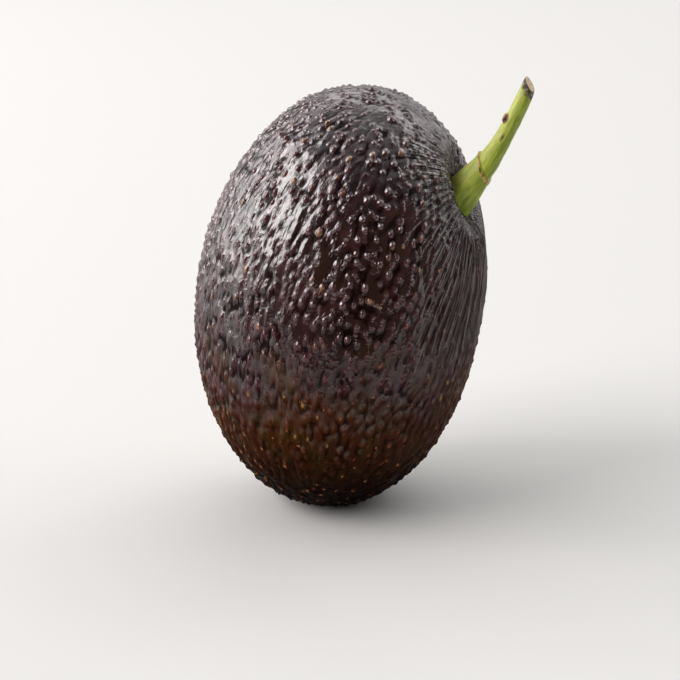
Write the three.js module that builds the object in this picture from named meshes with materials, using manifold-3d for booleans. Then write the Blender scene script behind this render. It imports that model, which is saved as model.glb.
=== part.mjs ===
import Module from 'manifold-3d';
import * as THREE from 'three';
import { mergeVertices } from 'three/addons/utils/BufferGeometryUtils.js';

// An avocado standing on the small flat spot at its bottom, with its green stalk still attached.
// Lengths in millimetres, angles in degrees. The origin is the centre of the flat spot, +Z is up and
// -Y is the front. The stalk grows out of the right shoulder, turned a little towards the front.

// The fruit, along its own axis before it leans
const GIRTH_RADIUS = 35;
const HALF_LENGTH = 52.75;
const FULLNESS = 2.02; // exponent of the side outline: 2 is an ellipse, more is blockier
const NARROWING = 0.012; // how much slimmer the top half is than the bottom half
const BOW = 1.0; // sideways shift of both ends against the middle
const CURL = -0.5; // further shift of the top, and the opposite one of the bottom
const LEAN = 7.5;
const FLAT_DEPTH = 1.76; // how much of the round bottom the flat spot takes off
const FRUIT_RINGS = 52;
const FRUIT_SEGMENTS = 80;

// The dimple that the stalk grows out of: a groove along the fruit with a lip round it
const DIMPLE_RISE = 38.2; // angle above the middle of the fruit, seen from its centre
const DIMPLE_TURN = -22; // angle round the fruit from its right side, to the front
const DIMPLE_DEPTH = 2.9;
const DIMPLE_HALF_WIDTH = 4.8;
const DIMPLE_HALF_HEIGHT = 7.5;
const LIP_HEIGHT = 0.8;
const LIP_RADIUS = 1.7; // as a multiple of the dimple's own half width and half height
const LIP_WIDTH = 0.5;
// the low swelling of the shoulder further round the stalk
const SWELL_HEIGHT = 0.6;
const SWELL_RADIUS = 20;
const SWELL_WIDTH = 10;

// The stalk, in the upright plane that runs out through the dimple
const STALK_TURN = -25;
const GAP = 0.3; // clearance between the stalk and the skin it grows out of
const STALK_SEGMENTS = 24;
const STALK_RINGS = 34;
// centre line: distance out from the dimple, height above it
const STALK_LINE = [
  [-4.7, -3.7],
  [-0.85, 0.45],
  [4.35, 6.9],
  [8.1, 13.3],
  [11.5, 20],
  [14.6, 27.2],
  [15.8, 30.5],
];
// distance along the stalk from its root, radius there
const STALK_PROFILE = [
  [0, 4.9],
  [3, 4.6],
  [6, 4.2],
  [9, 3.75],
  [11.3, 3.4],
  [12.6, 3.2],
  [13.6, 3.1],
  [14.3, 2.7],
  [17, 2.45],
  [19.2, 2.2],
  [23, 1.95],
  [28, 1.9],
  [33, 1.8],
  [35.2, 1.7],
  [36.5, 1.5],
  [39, 1.3],
];
const FOOT_RADIUS = STALK_PROFILE[0][1];
const KEEL = 0.7; // how much the foot narrows towards its lower side
const KEEL_REACH = 9; // how far along the stalk the narrowing dies out
const RING_ALONG = 13.6; // where the corky ring crosses the stalk's centre line
const RING_SLANT = 0.7; // how far the ring runs up the stalk for each millimetre towards its upper side
const RING_REACH = 6; // how far along the stalk the slant dies out

// The slanting cut at the tip of the stalk
const TIP_LENGTH = 36.1; // along the centre line, to the middle of the cut
const TIP_SLANT = 38;

// Bud scars: distance along the stalk, angle round it from its upper side to the front, size
const BUD_SCARS = [
  { along: 26.6, round: 32, length: 1.3, width: 0.85, rise: 0.6 },
  { along: 22.6, round: 80, length: 1.1, width: 0.45, rise: 0.2 },
];
const SCAR_SEGMENTS = 12;

const SKIN_COLOUR = 0x2b2024;
const SKIN_ROUGHNESS = 0.4;
const STALK_COLOUR = 0x8a9a3a;
const STALK_ROUGHNESS = 0.6;

const SMALL_ANGLE = 0.01; // radians, for the slope of the side outline
const MERGE_DISTANCE = 1e-4; // vertices closer than this are one

const wasm = await Module();
wasm.setup();

const radians = THREE.MathUtils.degToRad;

function toSolid(geometry) {
  const bare = geometry.clone();
  bare.deleteAttribute('normal');
  bare.deleteAttribute('uv');
  const merged = mergeVertices(bare, MERGE_DISTANCE);
  const vertProperties = new Float32Array(merged.attributes.position.array);
  const triVerts = new Uint32Array(merged.index.array);
  return new wasm.Manifold(new wasm.Mesh({ numProp: 3, vertProperties, triVerts }));
}

function toGeometry(solid) {
  const mesh = solid.getMesh();
  const geometry = new THREE.BufferGeometry();
  geometry.setAttribute('position', new THREE.BufferAttribute(new Float32Array(mesh.vertProperties), 3));
  geometry.setIndex(new THREE.BufferAttribute(new Uint32Array(mesh.triVerts), 1));
  geometry.computeVertexNormals();
  return geometry;
}

// Moves each vertex of a geometry by a function of its position.
function reshape(geometry, move) {
  const position = geometry.attributes.position;
  const point = new THREE.Vector3();
  for (let i = 0; i < position.count; i += 1) {
    point.fromBufferAttribute(position, i);
    move(point);
    position.setXYZ(i, point.x, point.y, point.z);
  }
}

// Radius and height of the fruit's side outline at an angle above its middle.
function outline(rise) {
  const across = Math.cos(rise);
  const up = Math.sin(rise);
  const reach = (Math.abs(across) ** FULLNESS + Math.abs(up) ** FULLNESS) ** (1 / FULLNESS);
  const height = up / reach;
  const radius = (across / reach) * (1 - NARROWING * height);
  return { radius: GIRTH_RADIUS * radius, height: HALF_LENGTH * height };
}

// The dimple's middle on the unbroken skin, with the directions outwards, up the fruit and round it.
function dimpleFrame() {
  const rise = radians(DIMPLE_RISE);
  const turn = radians(DIMPLE_TURN);
  const here = outline(rise);
  const above = outline(rise + SMALL_ANGLE);
  const along = new THREE.Vector2(above.radius - here.radius, above.height - here.height).normalize();
  const outDirection = new THREE.Vector3(Math.cos(turn), Math.sin(turn), 0);
  const middle = outDirection.clone().multiplyScalar(here.radius).setZ(here.height);
  const up = outDirection.clone().multiplyScalar(along.x).setZ(along.y);
  const round = new THREE.Vector3(-Math.sin(turn), Math.cos(turn), 0);
  const out = new THREE.Vector3().crossVectors(round, up);
  return { middle, up, round, out };
}

const dimple = dimpleFrame();

// How far the skin stands in (negative) or out near the dimple.
function dimpleRelief(point) {
  const offset = point.clone().sub(dimple.middle);
  if (offset.dot(dimple.out) < -GIRTH_RADIUS / 2) {
    return 0;
  }
  const across = offset.dot(dimple.round) / DIMPLE_HALF_WIDTH;
  const along = offset.dot(dimple.up) / DIMPLE_HALF_HEIGHT;
  const reach = Math.hypot(across, along);
  const hollow = DIMPLE_DEPTH * Math.exp(-reach * reach);
  const lip = LIP_HEIGHT * Math.exp(-(((reach - LIP_RADIUS) / LIP_WIDTH) ** 2));
  const swell = SWELL_HEIGHT * Math.exp(-(((offset.length() - SWELL_RADIUS) / SWELL_WIDTH) ** 2));
  return lip + swell - hollow;
}

// From the fruit's own upright axis to the leaning, slightly bowed shape.
function leanOver(point) {
  const height = point.z / HALF_LENGTH;
  point.x += BOW * height ** 2 + CURL * height ** 3;
  point.applyAxisAngle(new THREE.Vector3(0, 1, 0), radians(LEAN));
}

// The fruit's skin, moved outwards by a margin, before it is set down on the flat spot.
function fruitShape(margin) {
  const profile = [];
  for (let ring = 0; ring <= FRUIT_RINGS; ring += 1) {
    const side = outline(Math.PI * (ring / FRUIT_RINGS - 0.5));
    const radius = ring === 0 || ring === FRUIT_RINGS ? 0 : side.radius;
    profile.push(new THREE.Vector2(radius, side.height));
  }
  const geometry = new THREE.LatheGeometry(profile, FRUIT_SEGMENTS);
  geometry.rotateX(Math.PI / 2);
  reshape(geometry, (point) => {
    const outward = new THREE.Vector3(
      point.x / GIRTH_RADIUS ** 2,
      point.y / GIRTH_RADIUS ** 2,
      point.z / HALF_LENGTH ** 2,
    ).normalize();
    point.addScaledVector(outward, dimpleRelief(point) + margin);
    leanOver(point);
  });
  return geometry;
}

// Where the flat spot's centre lies under the leaning fruit.
function restSpot() {
  const geometry = fruitShape(0);
  geometry.computeBoundingBox();
  const floor = geometry.boundingBox.min.z + FLAT_DEPTH;
  const position = geometry.attributes.position;
  let left = Infinity;
  let right = -Infinity;
  for (let i = 0; i < position.count; i += 1) {
    if (position.getZ(i) < floor) {
      left = Math.min(left, position.getX(i));
      right = Math.max(right, position.getX(i));
    }
  }
  return new THREE.Vector3((left + right) / 2, 0, floor);
}

const rest = restSpot();

function standingFruit(margin) {
  const geometry = fruitShape(margin);
  geometry.translate(-rest.x, -rest.y, -rest.z);
  return toSolid(geometry);
}

function makeFruit() {
  const side = 4 * GIRTH_RADIUS;
  const below = new THREE.BoxGeometry(side, side, HALF_LENGTH);
  below.translate(0, 0, -HALF_LENGTH / 2);
  return toGeometry(standingFruit(0).subtract(toSolid(below)));
}

// The dimple's middle on the unbroken skin, once the fruit stands.
function dimplePlace() {
  const place = dimple.middle.clone();
  leanOver(place);
  return place.sub(rest);
}

const stalkOut = new THREE.Vector3(Math.cos(radians(STALK_TURN)), Math.sin(radians(STALK_TURN)), 0);
const stalkSide = new THREE.Vector3(stalkOut.y, -stalkOut.x, 0);

function stalkCurve() {
  const place = dimplePlace();
  const points = STALK_LINE.map(([out, up]) => {
    const point = place.clone().addScaledVector(stalkOut, out);
    point.z += up;
    return point;
  });
  return new THREE.CatmullRomCurve3(points);
}

const curve = stalkCurve();
const curveLength = curve.getLength();

// The stalk's centre at a distance from its root, with the directions along it and to its upper side.
function stalkFrame(distance) {
  const part = THREE.MathUtils.clamp(distance / curveLength, 0, 1);
  const centre = curve.getPointAt(part);
  const along = curve.getTangentAt(part);
  const upper = new THREE.Vector3().crossVectors(stalkSide, along);
  return { centre, along, upper };
}

function bentStalk() {
  const knots = STALK_PROFILE.map(([along, radius]) => new THREE.Vector3(radius, along, 0));
  const radii = new THREE.CatmullRomCurve3(knots);
  const profile = [new THREE.Vector2(0, 0)];
  for (let ring = 0; ring <= STALK_RINGS; ring += 1) {
    const point = radii.getPoint(ring / STALK_RINGS);
    profile.push(new THREE.Vector2(point.x, Math.min(point.y, curveLength)));
  }
  profile.push(new THREE.Vector2(0, profile.at(-1).y));
  const geometry = new THREE.LatheGeometry(profile, STALK_SEGMENTS);
  reshape(geometry, (point) => {
    const toUpper = point.z;
    const keel = KEEL * Math.exp(-((point.y / KEEL_REACH) ** 2)) * Math.min(toUpper / FOOT_RADIUS, 0);
    const across = point.x * (1 + keel);
    const slant = RING_SLANT * Math.exp(-(((point.y - RING_ALONG) / RING_REACH) ** 2));
    const { centre, upper } = stalkFrame(point.y + slant * toUpper);
    point.copy(centre).addScaledVector(stalkSide, across).addScaledVector(upper, toUpper);
  });
  return geometry;
}

// A block, wider than the stalk, that takes off everything beyond the slanting cut at the tip.
function tipCutter() {
  const { centre, along, upper } = stalkFrame(TIP_LENGTH);
  const slant = radians(TIP_SLANT);
  const facing = along.clone().multiplyScalar(Math.cos(slant)).addScaledVector(upper, -Math.sin(slant));
  const size = 4 * FOOT_RADIUS;
  const block = new THREE.BoxGeometry(size, size, size);
  block.translate(0, 0, size / 2);
  block.applyQuaternion(new THREE.Quaternion().setFromUnitVectors(new THREE.Vector3(0, 0, 1), facing));
  block.translate(centre.x, centre.y, centre.z);
  return block;
}

function stalkRadius(distance) {
  const next = STALK_PROFILE.findIndex(([along]) => along > distance);
  const [startAlong, startRadius] = STALK_PROFILE[next - 1];
  const [endAlong, endRadius] = STALK_PROFILE[next];
  return THREE.MathUtils.mapLinear(distance, startAlong, endAlong, startRadius, endRadius);
}

function makeScar({ along: distance, round, length, width, rise }) {
  const { centre, along, upper } = stalkFrame(distance);
  const angle = radians(round);
  const outward = upper.clone().multiplyScalar(Math.cos(angle)).addScaledVector(stalkSide, Math.sin(angle));
  const sideways = new THREE.Vector3().crossVectors(along, outward);
  const scar = new THREE.SphereGeometry(1, SCAR_SEGMENTS, SCAR_SEGMENTS / 2);
  scar.scale(width, length, 2 * rise);
  scar.applyMatrix4(new THREE.Matrix4().makeBasis(sideways, along, outward));
  const seat = centre.clone().addScaledVector(outward, stalkRadius(distance) - rise);
  scar.translate(seat.x, seat.y, seat.z);
  return scar;
}

function makeStalk() {
  let solid = toSolid(bentStalk());
  for (const scar of BUD_SCARS) {
    solid = solid.add(toSolid(makeScar(scar)));
  }
  solid = solid.subtract(toSolid(tipCutter()));
  return toGeometry(solid.subtract(standingFruit(GAP)));
}

function addPiece(group, name, geometry, color, roughness) {
  const material = new THREE.MeshStandardMaterial({ color, roughness, metalness: 0 });
  const mesh = new THREE.Mesh(geometry, material);
  mesh.name = name;
  group.add(mesh);
}

const avocado = new THREE.Group();
addPiece(avocado, 'fruit', makeFruit(), SKIN_COLOUR, SKIN_ROUGHNESS);
addPiece(avocado, 'stem', makeStalk(), STALK_COLOUR, STALK_ROUGHNESS);

export default avocado;
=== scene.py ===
"""An avocado with its stalk: pebbled skin, green stalk and a pale studio, in metres, over the CAD frame."""
import math

import bpy
import numpy as np
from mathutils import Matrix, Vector, kdtree, noise
from mathutils.bvhtree import BVHTree


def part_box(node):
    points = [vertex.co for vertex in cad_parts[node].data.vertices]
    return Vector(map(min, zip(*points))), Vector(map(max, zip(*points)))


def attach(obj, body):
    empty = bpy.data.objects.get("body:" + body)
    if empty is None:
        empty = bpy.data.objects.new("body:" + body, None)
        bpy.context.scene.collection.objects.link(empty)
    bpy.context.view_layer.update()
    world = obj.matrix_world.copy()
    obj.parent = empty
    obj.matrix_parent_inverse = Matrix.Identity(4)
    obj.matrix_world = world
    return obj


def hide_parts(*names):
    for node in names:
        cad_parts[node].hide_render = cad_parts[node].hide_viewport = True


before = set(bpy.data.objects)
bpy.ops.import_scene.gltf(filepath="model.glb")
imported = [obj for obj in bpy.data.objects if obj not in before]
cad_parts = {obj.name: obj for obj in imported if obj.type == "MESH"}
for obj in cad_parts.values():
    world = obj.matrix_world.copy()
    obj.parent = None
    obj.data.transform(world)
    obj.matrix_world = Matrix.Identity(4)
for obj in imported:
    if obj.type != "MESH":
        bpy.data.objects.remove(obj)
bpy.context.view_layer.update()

MM = 0.001

# The fruit as the CAD has it
FRUIT_LOW, FRUIT_HIGH = (np.array(corner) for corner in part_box("fruit"))
FRUIT_CENTRE = (FRUIT_LOW + FRUIT_HIGH) / 2
GIRTH_RADIUS = (FRUIT_HIGH[1] - FRUIT_LOW[1]) / 2
HALF_HEIGHT = (FRUIT_HIGH[2] - FRUIT_LOW[2]) / 2
LEAN = math.radians(7.5)
DIMPLE = np.array((32.5, -10.3, 80.0)) * MM  # the dimple's middle, on the line of the unbroken skin

# The skin's mesh
SKIN_CELLS = 314  # along each side of the square that the skin is mapped to
FACET_PASSES = 14  # smoothing passes that take the CAD facets out
SMOOTHING = 0.9  # how much of the way to its neighbours' mean a point moves in one pass
SKIN_DROP = 0.3 * MM  # how far the hollows between pebbles lie under the CAD skin

# The pebbles: stones parted by seams with a nub on each, and grains between
SEED = 11
NUBS = 3000
NUB_DISORDER = 0.33  # as a share of the space between two
GRAINS = 3600
GRAIN_DISORDER = 0.3
STONE = dict(radius=(1.0, 1.5), stretch=(1.3, 2.2), height=(0.08, 0.28))  # millimetres, as the next two
NUB = dict(radius=(0.55, 0.88), stretch=(1.15, 1.9), height=(0.18, 0.4))
GRAIN = dict(radius=(0.4, 0.55), stretch=(1.0, 1.5), height=(0.06, 0.16))
NUB_SPACE = 0.5  # the most a nub's half length may be, as a share of the way to its neighbour
GRAIN_CLEARANCE = 1.5 * MM  # from a grain to the nearest nub
FLECKED = 0.1  # the share of nubs and grains that have a corky tip
FLECKED_LOW = 0.3  # and how much larger that share is at the low end, where the extra corky tips are partly painted glints
FLECK_TONES = (0.15, 1)
MARK_REACH = 1.8  # how far a pebble marks the skin, as a multiple of its outline
MARK_EDGE = (0.9, 1.35)  # where its mark fades
STONE_REACH = 2.6

# The parts of the skin, between which heights each one sets in, as shares of the whole height
LOW_END = (0.2, 0.45)
CROWN = (0.55, 0.8)
BARE_RISE = (0.3, 0.55)  # the bare part is high up on the right, where nubs stand on smooth skin
BARE_SIDE = (-16 * MM, -2 * MM)  # across the fruit, where it sets in from left to right
BARE_CROWN = 0.35  # how bare the crown is all round
# what pebbles gain there, as a share of their own size
STONE_GAINS = dict(height=dict(bare=-0.5))
NUB_GAINS = dict(
    radius=dict(crown=0.3, low=-0.2),
    height=dict(bare=0.25, crown=0.5, low=-0.2),
    stretch=dict(bare=-0.15),
)
GRAIN_GAINS = dict(radius=dict(bare=0.25), height=dict(bare=1.0))
LOW_GAIN = 0.1  # and all the pebbled relief at the low end
BARE_PLATE_LOSS = 0.5  # how much of the plates the bare part lacks
BARE_LINE_LOSS = 0.7  # and of the fine ridges and seams

# Wavy rows of plates, with finer rows on them
ROW_START = np.array((18.0, -6.0, 96.0)) * MM  # where the rows of pebbles gather on top
ROWS = 80
ROW_STRETCH = 3.2
ROW_WANDER = 0.9
ROW_FADE = (0.12, 0.5)  # where they fade in from both ends, as shares of the girth's radius
WANDER_SIZE = 9 * MM
PLATE_HEIGHT = 0.15 * MM
PLATE_SLOPE = 0.22
PLATE_EDGE = 0.08 * MM  # the step that the material's bump adds along the edge of a plate
FINE_ROWS = 150
FINE_ROW_WANDER = 1.2
FINE_ROW_DEPTH = 0.07 * MM
FINE_ROW_SHARPNESS = 2.5

# Seams between the stones, open in patches
SEAM_DEPTH = 0.17 * MM
SEAM_WIDTH = 0.5  # as a share of a stone
SEAM_PATCH = 4.5 * MM
SEAM_OPEN = (-0.2, 0.35)
SEAM_START = (6 * MM, 16 * MM)  # from the dimple's middle
SEAM_LOW_LOSS = 0.6

# Wide dents, and what counts as a hollow
DENT_SIZE = 11 * MM
DENT_DEPTH = 0.28 * MM
HOLLOW_PASSES = 8  # how far round a spot the skin is averaged, to tell hollows from rises
HOLLOW_DEPTH = 0.1 * MM

# Folds that run out from the stalk
FOLDS = 58
FOLD_DEPTH = 0.26 * MM
FOLD_REACH = 17 * MM
FOLD_RUN = 30 * MM  # how much further the folds reach down the back of the right side
FOLD_HEADING = np.array((0.35, 0.45, -0.82))
FOLD_SIDE = (-0.1, 0.7)
FOLD_SIDE_GAIN = 0.3
FOLD_START = (2 * MM, 4 * MM)  # from the dimple's middle
FOLD_WAVER = 2.5
FOLD_WAVER_SIZE = 14 * MM
FOLD_LINES = 150  # finer ones, in the material's bump
FOLD_LINE_STRETCH = 14
FOLD_LINE_HEIGHT = 1.8 * MM
CALM_REACH = 7 * MM  # round the stalk, where the pebbles die out
CALM_START = 0.3  # as a share of that reach
CALM_FOLDED = 0.45  # how much of them the folds take away
CALM_FOLD_SIDE = 0.4  # and how much more on the side where the folds run on

# What the skin's bump adds, finer than the mesh can show
NUB_TIP = 0.24 * MM
FLAKE_HEIGHT = 0.05 * MM
STREAK_HEIGHT = 0.1 * MM
PIMPLE_HEIGHT = 0.1 * MM
SKIN_GRAIN_HEIGHT = 0.03 * MM
BARE_SMOOTHING = 0.65  # how much of the fine bump the bare part lacks

# The skin's colours
NIGHT = (0.0145, 0.003, 0.0047)
DUSK = (0.038, 0.0076, 0.0115)
WINE = (0.105, 0.018, 0.027)
# brown and olive below: partly the skin's own colour, partly painted warm reflected light
EARTH = (0.060, 0.0145, 0.0025)
OLIVE = (0.053, 0.0245, 0.0032)
# painted sheen, a greyish lightening laid on the folds
FOLD_SHEEN = (0.12, 0.082, 0.082)
# painted highlight: lighter brown on the rises of the brown end
RISE_HIGHLIGHT = (0.14, 0.055, 0.028)
# painted shade in the hollows and the creases between folds
CREVICE_SHADE = (0.006, 0.002, 0.002)
# painted shade, darkening the skin towards the bottom
UNDERSIDE_SHADE = (0.004, 0.0014, 0.0007)
TIP_TONES = [  # colours of the corky tips, by tone
    (0.15, (0.10, 0.022, 0.014)),
    (0.45, (0.22, 0.065, 0.025)),
    (0.8, (0.34, 0.16, 0.07)),
    (1.0, (0.26, 0.18, 0.04)),
]
BROWN_START = 70 * MM  # the height under which the skin turns brown, partly its own colour and partly painted warm reflected light, and where it is all brown
BROWN_FULL = 40 * MM
BROWN_WANDER = 32 * MM  # how far that line wanders down
SHADE_START = 32 * MM  # where the painted shade on the underside begins, and where it is full
SHADE_FULL = 4 * MM

# The stalk, in the upright plane that leaves the dimple: millimetres out and up. All but the small scar,
# which is slimmer here, is as the CAD has it.
STALK_TURN = math.radians(-25)
STALK_LINE = [
    (-4.7, -3.7), (-0.85, 0.45), (4.35, 6.9), (8.1, 13.3), (11.5, 20), (14.6, 27.2), (15.8, 30.5),
]
# millimetres along the stalk from its root, radius there
STALK_PROFILE = [
    (0, 4.9), (3, 4.6), (6, 4.2), (9, 3.75), (11.3, 3.4), (12.6, 3.2), (13.6, 3.1), (14.3, 2.7),
    (17, 2.45), (19.2, 2.2), (23, 1.95), (28, 1.9), (33, 1.8), (35.2, 1.7), (36.5, 1.5), (39, 1.3),
]
FOOT_RADIUS = STALK_PROFILE[0][1]
KEEL = 0.7
KEEL_REACH = 9
RING_ALONG = 13.6
RING_SLANT = 0.7
RING_REACH = 6
TIP_LENGTH = 36.1
TIP_SLANT = math.radians(38)
BUD_SCARS = [
    dict(along=26.6, round=math.radians(32), length=1.3, width=0.85, rise=0.6),
    dict(along=22.6, round=math.radians(78), length=1.2, width=0.26, rise=0.12),
]

# The stalk's mesh and its relief, in millimetres
STALK_SIDES = 96
STALK_RINGS = 280
STALK_START = 1.0  # along the line, below the skin
CAP_STEPS = 8
CUT_START = 24  # where the rings of the mesh begin to tilt towards the slant of the cut
RIB_HEIGHT = 0.1
LUMP_HEIGHT = 0.1
RING_HEIGHT = 0.17
RING_WIDTH = 0.3
RING_RAGGEDNESS = 1.3
RING_WAVER = 0.25
RING_RIPPLE = 0.2
GROOVE_DEPTH = 0.14
GROOVE_WIDTH = 0.25
GROOVE_OFFSET = 0.6  # beyond the ring
SCAR_RADIUS = 1.9  # the stalk's radius where the scars are
SCAR_SLOPE = (0.45, 1.15)
SCAR_FACE = (0.6, 1.1)
SCAR_SHIFT = 0.3  # how far the brown face of a scar turns from its middle, in radians
SCAR_PIT = 0.25  # how deep its middle is sunk, as a share of its rise
SCAR_PIT_SIZE = 0.3
DRY_START = 3.2  # how far before the cut the stalk begins to dry, and where it is all dry
DRY_FULL = 0.6
LIT_SIDE_TURN = 0.4  # how far the side with painted light turns from the upper one, in radians
BARK_TURNS = 2  # how fine the streaks are round the stalk, and how long
BARK_LENGTH = 8
STALK_GRAIN_HEIGHT = 0.05 * MM
STALK_STREAK_HEIGHT = 0.08 * MM

# The stalk's colours, the first of each pair where its blotches are not
GREENS = (0.25, 0.33, 0.006), (0.46, 0.56, 0.022)
# painted light for the stalk's upper side, and painted shade for its underside
PAINTED_LIGHT_GREEN = (0.74, 0.72, 0.32)
PAINTED_SHADE_GREEN = (0.085, 0.11, 0.003)
CORK = (0.17, 0.06, 0.015), (0.72, 0.44, 0.16)
SCAR_BROWNS = (0.035, 0.012, 0.008), (0.26, 0.11, 0.07)
DRIED = (0.16, 0.13, 0.085), (0.035, 0.024, 0.016)
CUT_WOOD = (0.66, 0.38, 0.15), (0.95, 0.82, 0.55)

# The camera and the studio
CAMERA_ELEVATION = math.radians(18.6)
CAMERA_DISTANCE = 0.4413
CAMERA_AIM = (0.0028, 0, 0.0405)
CAMERA_NEAR = 0.01
LENS = 95.3
FLOOR_REACH = 12.0
FLOOR_COLOUR = (0.78, 0.79, 0.77)
# a dark card that only the fruit's shine shows, for painted shade in the shine of its front
CARD_WIDTH = 0.7
CARD_HEIGHT = 0.13
CARD_FRONT = -0.13
CARD_COLOUR = (0.10, 0.055, 0.03)
LAMP_COLOUR = (1.0, 0.945, 0.94)
LAMPS = [  # degrees round from the front and up, metres away, metres wide and tall, radiance
    ("window_front", -70, 30, 2.0, 1.4, 1.7, 4.6),
    ("window_side", -112, 27, 2.0, 1.75, 1.9, 2.2),
    ("back", 165, 46, 2.5, 2.75, 1.5, 1.45),
    ("back_right", 113, 30, 2.5, 2.25, 1.7, 1.15),
]
SKY_TILT = 0.55  # how much of the sky's rise in light is upwards, against backwards
SKY_SPAN = (-0.3, 0.9)
SKY_DIM = 0.03
SKY_BRIGHT = 0.56


# ---- shared tools ----

def smooth_step(low, high, value):
    """0 below low, 1 above high and a smooth rise between."""
    t = np.clip((value - low) / (high - low), 0, 1)
    return t * t * (3 - 2 * t)


def noise_at(points):
    """Gradient noise in -1..1 at each point."""
    return np.array([noise.noise(p) for p in points])


def unit(vectors):
    """Vectors scaled to length one."""
    return vectors / np.linalg.norm(vectors, axis=-1, keepdims=True)


def leaned(vectors, angle=LEAN):
    """Vectors turned from the fruit's own upright frame to the way it stands, or back by -LEAN."""
    x, y, z = np.moveaxis(vectors, -1, 0)
    c, s = math.cos(angle), math.sin(angle)
    return np.stack([x * c + z * s, y, z * c - x * s], -1)


def new_piece(name, vertices, faces, material):
    """A smooth mesh object in the row frame, with its material, riding on the root."""
    mesh = bpy.data.meshes.new(name)
    mesh.from_pydata(vertices, [], faces)
    mesh.shade_smooth()
    mesh.materials.append(material)
    piece = bpy.data.objects.new(name, mesh)
    bpy.context.scene.collection.objects.link(piece)
    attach(piece, "root")
    return piece


def add_mask(piece, name, values):
    """Stores one number for each vertex, for a material to read."""
    layer = piece.data.attributes.new(name, "FLOAT", "POINT")
    layer.data.foreach_set("value", np.asarray(values, np.float32))


def add_points(piece, name, values):
    """Stores one point for each vertex, for a material to read."""
    layer = piece.data.attributes.new(name, "FLOAT_VECTOR", "POINT")
    layer.data.foreach_set("vector", np.asarray(values, np.float32).ravel())


def add_layout(piece, corners):
    """Stores where each face corner lies on a flat layout that the colours can be baked to."""
    layout = piece.data.uv_layers.new(name="OFBake")
    layout.data.foreach_set("uv", np.asarray(corners, np.float32).ravel())


# ---- the skin ----

def square_to_sphere(s, t):
    """Equal-area map from a square to the unit sphere: the middle is the top and the corners the bottom."""
    inset = 1 - np.abs(s) - np.abs(t)
    radius = 1 - np.abs(inset)
    turn = ((np.abs(t) - np.abs(s)) / np.maximum(radius, 1e-12) + 1) * math.pi / 4
    ring = radius * np.sqrt(np.maximum(2 - radius ** 2, 0))
    up = np.where(inset >= 0, 1, -1) * (1 - radius ** 2)
    across = np.where(s >= 0, 1, -1) * ring * np.cos(turn)
    along = np.where(t >= 0, 1, -1) * ring * np.sin(turn)
    return np.stack([across, along, up], -1)


def skin_lattice():
    """Unit directions, quads and a flat place for each quad corner, of a square folded into a ball."""
    n = SKIN_CELLS
    grid = np.arange((n + 1) ** 2).reshape(n + 1, n + 1)
    for edge in (grid[0], grid[n], grid[:, 0], grid[:, n]):
        edge[:] = np.minimum(edge, edge[::-1])
    grid[0, 0] = grid[0, n] = grid[n, 0] = grid[n, n] = 0
    kept, index = np.unique(grid, return_inverse=True)
    index = index.reshape(grid.shape)
    directions = square_to_sphere(2 * (kept // (n + 1)) / n - 1, 2 * (kept % (n + 1)) / n - 1)
    row, column = (a.ravel() for a in np.meshgrid(np.arange(n), np.arange(n), indexing="ij"))
    corners = [(0, 0), (1, 0), (1, 1), (0, 1)]
    quads = np.stack([index[row + i, column + j] for i, j in corners], 1)
    flat = np.stack([np.stack([row + i, column + j], 1) / n for i, j in corners], 1)
    return directions, quads, flat


def quad_normals(points, quads):
    """The outward direction at each vertex of a closed quad mesh."""
    a, b, c, d = (points[quads[:, k]] for k in range(4))
    face = np.cross(c - a, d - b)
    total = np.zeros_like(points)
    for k in range(4):
        for axis in range(3):
            total[:, axis] += np.bincount(quads[:, k], face[:, axis], len(points))
    return unit(total)


def relaxed(points, quads, passes):
    """Each point moved to the mean of its neighbours, several times over."""
    starts = np.concatenate([quads[:, k] for k in range(4)])
    ends = np.concatenate([quads[:, (k + 1) % 4] for k in range(4)])
    count = np.bincount(starts, minlength=len(points))[:, None]
    for _ in range(passes):
        total = np.stack([np.bincount(starts, points[ends, axis], len(points)) for axis in range(3)], 1)
        points = (1 - SMOOTHING) * points + SMOOTHING * total / count
    return points


def cad_skin(directions, quads):
    """The CAD fruit's surface along each direction from its middle, with the facets smoothed out."""
    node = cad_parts["fruit"]
    tree = BVHTree.FromPolygons([v.co for v in node.data.vertices], [p.vertices for p in node.data.polygons])
    rays = leaned(directions * (1, 1, HALF_HEIGHT / GIRTH_RADIUS))
    middle = Vector(FRUIT_CENTRE)
    points = np.array([tree.ray_cast(middle, Vector(ray))[0] for ray in rays])
    return relaxed(points, quads, FACET_PASSES)


class SkinFlow:
    """Lines on the skin that leave one place and gather at the bottom, as the rows of pebbles do."""

    def __init__(self, directions, start):
        own = leaned(start - FRUIT_CENTRE, -LEAN) / (GIRTH_RADIUS, GIRTH_RADIUS, HALF_HEIGHT)
        self.start = self.flattened(unit(own)[None])[0]
        place = self.flattened(directions) - self.start
        self.turn = np.angle(place)
        self.reach = np.log(np.maximum(np.abs(place), 1e-6))
        self.width = 2 * np.abs(place) / (1 + np.abs(place + self.start) ** 2) * GIRTH_RADIUS
        ahead = self.rounded(place * 1.001 + self.start) - directions
        self.along = unit(leaned(ahead * (GIRTH_RADIUS, GIRTH_RADIUS, HALF_HEIGHT)) + 1e-12)

    @staticmethod
    def flattened(directions):
        """The sphere opened out from its bottom, as complex numbers."""
        x, y, z = np.moveaxis(directions, -1, 0)
        return (x + 1j * y) / np.maximum(1 + z, 1e-6)

    @staticmethod
    def rounded(place):
        """Undoes flattened."""
        size = np.abs(place) ** 2
        return np.stack([2 * place.real, 2 * place.imag, 1 - size], -1) / (1 + size)[:, None]

    def rows(self, count, stretch):
        """Coordinates for noise whose cells are count round the fruit, and longer along the lines."""
        scale = count / (2 * math.pi)
        return np.stack(
            [scale * np.cos(self.turn), scale * np.sin(self.turn), scale / stretch * self.reach], 1
        )


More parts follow.
